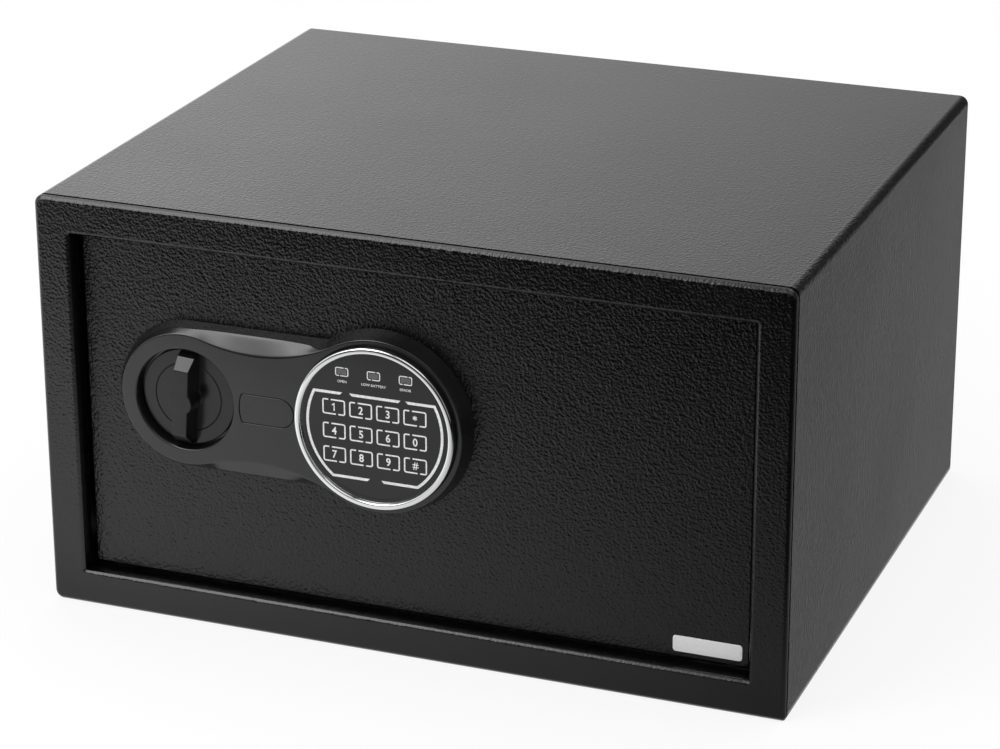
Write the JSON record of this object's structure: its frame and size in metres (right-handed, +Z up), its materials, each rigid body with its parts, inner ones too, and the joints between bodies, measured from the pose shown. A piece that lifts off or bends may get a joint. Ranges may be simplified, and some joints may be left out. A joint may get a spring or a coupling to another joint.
{
  "type": "electronic safe",
  "caption": "Small black steel safe with a hinged door, a waisted lock housing with a round keypad in a chrome ring and a grip knob that drives two locking bolts.",
  "frame": {"origin": "centre of the footprint's bounding box, on the underside of the cabinet", "axes": "+Z up, the door faces -Y, +X towards the hinges"},
  "size_m": [0.42, 0.356, 0.235],
  "materials": {
    "cabinet_paint": "fine textured powder coat",
    "door_paint": "fine textured powder coat",
    "dark_steel": "satin black paint",
    "zinc_steel": "zinc plated",
    "bright_steel": "plain bright",
    "mat_felt": "needled felt",
    "housing_plastic": "polished black",
    "knob_plastic": "semi-gloss black",
    "ring_chrome": "polished",
    "panel_gloss": "high gloss black",
    "silicone": "matt",
    "circuit_board": "solder mask",
    "led_lens": "clear",
    "black_plastic": "spark textured",
    "coil_copper": "enamelled winding",
    "lock_brass": "turned",
    "cell_wrap": "plain wrap",
    "lead_jacket": "PVC",
    "button_red": "polished"
  },
  "bodies": {
    "cabinet": {"body_wrap": "cabinet_paint", "front_frame": "cabinet_paint", "back_panel": "cabinet_paint", "hinge_brackets": "dark_steel", "hinge_washer": "dark_steel", "floor_mat": "mat_felt"},
    "door": {"door_plate": "door_paint", "hinge_blocks": "dark_steel", "hinge_pins": "dark_steel", "bolt_guide": "zinc_steel", "guide_studs": "bright_steel", "stud_clips": "zinc_steel", "lock_housing": "housing_plastic", "housing_screws": "bright_steel", "chrome_ring": "ring_chrome", "keypad_panel": "panel_gloss", "key_membrane": "silicone", "keypad_board": "circuit_board", "status_leds": "led_lens", "buzzer": "black_plastic", "solenoid_frame": "zinc_steel", "solenoid_coil": "coil_copper", "key_barrel": "lock_brass", "barrel_nut": "bright_steel", "inner_cover": "black_plastic", "cover_posts": "zinc_steel", "cover_screws": "bright_steel", "battery_cells": "cell_wrap", "battery_contacts": "bright_steel", "reset_switch": "black_plastic", "wiring_harness": "lead_jacket", "plunger_spring": "bright_steel"},
    "knob": {"knob": "knob_plastic", "knob_spindle": "bright_steel", "spindle_clip": "zinc_steel"},
    "carriage": {"bolt_carriage": "zinc_steel", "locking_bolts": "bright_steel"},
    "plunger": {"solenoid_plunger": "bright_steel", "plunger_clip": "zinc_steel"},
    "key_lock": {"key_plug": "lock_brass", "key_cam": "zinc_steel"},
    "key_cover": {"key_cover": "housing_plastic"},
    "reset_button": {"reset_button": "button_red"},
    "battery_lid": {"battery_lid": "black_plastic"}
  },
  "joints": [
    {"name": "door_hinge", "type": "hinge", "parent": "cabinet", "child": "door", "pos_m": [0.177, -0.152, 0.1303], "axis": [0, 0, 1], "range_deg": [0, 95]},
    {"name": "knob_turn", "type": "hinge", "parent": "door", "child": "knob", "pos_m": [-0.125, -0.167, 0.1303], "axis": [0, -1, 0], "range_deg": [0, 90]},
    {"name": "bolt_slide", "type": "slide", "parent": "door", "child": "carriage", "axis": [-1, 0, 0], "range_m": [0, 0.018]},
    {"name": "plunger_slide", "type": "slide", "parent": "door", "child": "plunger", "axis": [0, 0, 1], "range_m": [0, 0.0045], "deforming": ["plunger_spring"]},
    {"name": "key_turn", "type": "hinge", "parent": "door", "child": "key_lock", "pos_m": [-0.0772, -0.162, 0.1303], "axis": [0, -1, 0], "range_deg": [0, 90]},
    {"name": "key_cover_pull", "type": "slide", "parent": "door", "child": "key_cover", "axis": [0, -1, 0], "range_m": [0, 0.015]},
    {"name": "reset_press", "type": "slide", "parent": "door", "child": "reset_button", "axis": [0, -1, 0], "range_m": [0, 0.0018], "stiffness_N_per_m": 300},
    {"name": "lid_pull", "type": "slide", "parent": "door", "child": "battery_lid", "axis": [0, 1, 0], "range_m": [0, 0.015]}
  ],
  "couplings": [
    {"joint": "knob_turn", "follows": "bolt_slide", "rad_per_m": 87.266}
  ]
}
